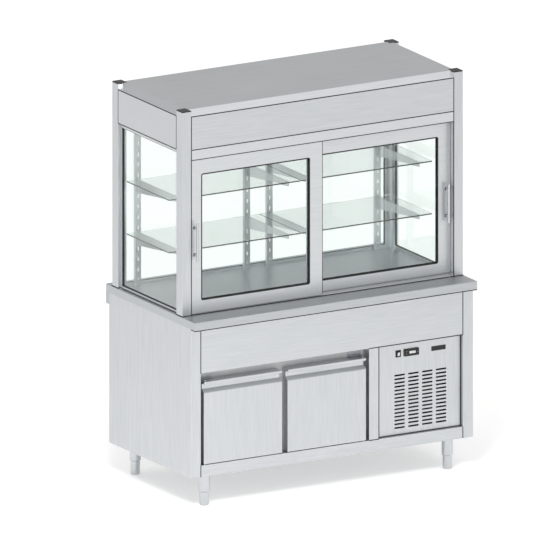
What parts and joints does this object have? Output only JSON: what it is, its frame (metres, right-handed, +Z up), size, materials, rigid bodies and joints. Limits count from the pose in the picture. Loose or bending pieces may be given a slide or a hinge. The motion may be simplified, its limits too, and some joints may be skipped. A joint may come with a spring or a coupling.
{
  "type": "refrigerated display case",
  "caption": "Free-standing stainless refrigerated counter on adjustable feet with hinged base doors and a glazed upper display with sliding doors.",
  "frame": {"origin": "on the floor, below the middle of the worktop", "axes": "+Z up, +X to the right of someone facing the doors, +Y from the doors to the back"},
  "size_m": [1.5, 0.82, 1.876],
  "materials": {
    "stainless_steel": "satin",
    "clear_glass": "gloss",
    "foam": "matte",
    "anodised_aluminium": "satin",
    "black_plastic": "satin",
    "rubber": "matte",
    "light_plastic": "satin",
    "copper_pipe": "satin",
    "galvanised_steel": "satin",
    "black_painted_steel": "gloss",
    "coil_fins": "satin",
    "lamp_diffuser": "satin",
    "zinc_bracket": "satin",
    "shelf_wire": "satin"
  },
  "bodies": {
    "root": {"back_panel": "galvanised_steel", "base_evaporator": "coil_fins", "blank_plate": "black_plastic", "ceiling_panel": "stainless_steel", "cold_room_liner": "stainless_steel", "compressor": "black_painted_steel", "condenser": "coil_fins", "control_box": "light_plastic", "corner_posts": "stainless_steel", "display_evaporator": "coil_fins", "door_landing_frame": "light_plastic", "door_tracks": "anodised_aluminium", "fan_motors": "black_painted_steel", "fascia": "stainless_steel", "fixed_panes": "clear_glass", "floor_pan": "stainless_steel", "glass_shelves": "clear_glass", "header": "stainless_steel", "hinge_brackets": "zinc_bracket", "insulation": "foam", "lamp": "lamp_diffuser", "leg_sleeves": "stainless_steel", "louvre_panel": "stainless_steel", "outer_panels": "stainless_steel", "pane_beads": "anodised_aluminium", "post_caps": "black_plastic", "refrigerant_pipes": "copper_pipe", "roof": "stainless_steel", "shelf_brackets": "stainless_steel", "shelf_supports": "stainless_steel", "shelf_uprights": "stainless_steel", "switch_bezel": "black_plastic", "thermostat": "black_plastic", "unit_tray": "galvanised_steel", "wire_shelves": "shelf_wire", "worktop": "stainless_steel"},
    "left_glass_door": {"left_glass_door_frame": "anodised_aluminium", "left_glass_door_pane": "clear_glass", "left_glass_door_handle": "stainless_steel"},
    "right_glass_door": {"right_glass_door_frame": "anodised_aluminium", "right_glass_door_pane": "clear_glass", "right_glass_door_handle": "stainless_steel"},
    "left_base_door": {"left_base_door_skin": "stainless_steel", "left_base_door_core": "light_plastic", "left_base_door_grip": "stainless_steel", "left_base_door_gasket": "rubber"},
    "right_base_door": {"right_base_door_skin": "stainless_steel", "right_base_door_core": "light_plastic", "right_base_door_grip": "stainless_steel", "right_base_door_gasket": "rubber"},
    "front_left_foot": {"front_left_foot": "stainless_steel"},
    "front_right_foot": {"front_right_foot": "stainless_steel"},
    "rear_left_foot": {"rear_left_foot": "stainless_steel"},
    "rear_right_foot": {"rear_right_foot": "stainless_steel"},
    "switch_rocker": {"switch_rocker": "light_plastic"},
    "up_key": {"up_key": "light_plastic"},
    "down_key": {"down_key": "light_plastic"},
    "set_key": {"set_key": "light_plastic"},
    "condenser_fan": {"condenser_fan": "black_plastic"},
    "evaporator_fan": {"evaporator_fan": "black_plastic"}
  },
  "joints": [
    {"name": "left_glass_door_slide", "type": "slide", "parent": "root", "child": "left_glass_door", "axis": [1, 0, 0], "range_m": [0, 0.66]},
    {"name": "right_glass_door_slide", "type": "slide", "parent": "root", "child": "right_glass_door", "axis": [1, 0, 0], "range_m": [-0.635, 0]},
    {"name": "left_base_door_swing", "type": "hinge", "parent": "root", "child": "left_base_door", "pos_m": [-0.668, -0.358, 0.4], "axis": [0, 0, -1], "range_deg": [0, 100]},
    {"name": "right_base_door_swing", "type": "hinge", "parent": "root", "child": "right_base_door", "pos_m": [0.17, -0.358, 0.4], "axis": [0, 0, 1], "range_deg": [0, 100]},
    {"name": "front_left_foot_screw", "type": "slide", "parent": "root", "child": "front_left_foot", "axis": [0, 0, -1], "range_m": [0, 0.05]},
    {"name": "front_right_foot_screw", "type": "slide", "parent": "root", "child": "front_right_foot", "axis": [0, 0, -1], "range_m": [0, 0.05]},
    {"name": "rear_left_foot_screw", "type": "slide", "parent": "root", "child": "rear_left_foot", "axis": [0, 0, -1], "range_m": [0, 0.05]},
    {"name": "rear_right_foot_screw", "type": "slide", "parent": "root", "child": "rear_right_foot", "axis": [0, 0, -1], "range_m": [0, 0.05]},
    {"name": "switch_rocker_tilt", "type": "hinge", "parent": "root", "child": "switch_rocker", "pos_m": [0.364, -0.348, 0.592], "axis": [1, 0, 0], "range_deg": [-24, 0]},
    {"name": "up_key_press", "type": "slide", "parent": "root", "child": "up_key", "axis": [0, 1, 0], "range_m": [0, 0.001], "stiffness_N_per_m": 300},
    {"name": "down_key_press", "type": "slide", "parent": "root", "child": "down_key", "axis": [0, 1, 0], "range_m": [0, 0.001], "stiffness_N_per_m": 300},
    {"name": "set_key_press", "type": "slide", "parent": "root", "child": "set_key", "axis": [0, 1, 0], "range_m": [0, 0.001], "stiffness_N_per_m": 300},
    {"name": "condenser_fan_spin", "type": "hinge", "parent": "root", "child": "condenser_fan", "pos_m": [0.473, -0.2255, 0.283], "axis": [0, -1, 0], "continuous": true},
    {"name": "evaporator_fan_spin", "type": "hinge", "parent": "root", "child": "evaporator_fan", "pos_m": [-0.142, 0.062, 0.735], "axis": [0, -1, 0], "continuous": true}
  ]
}
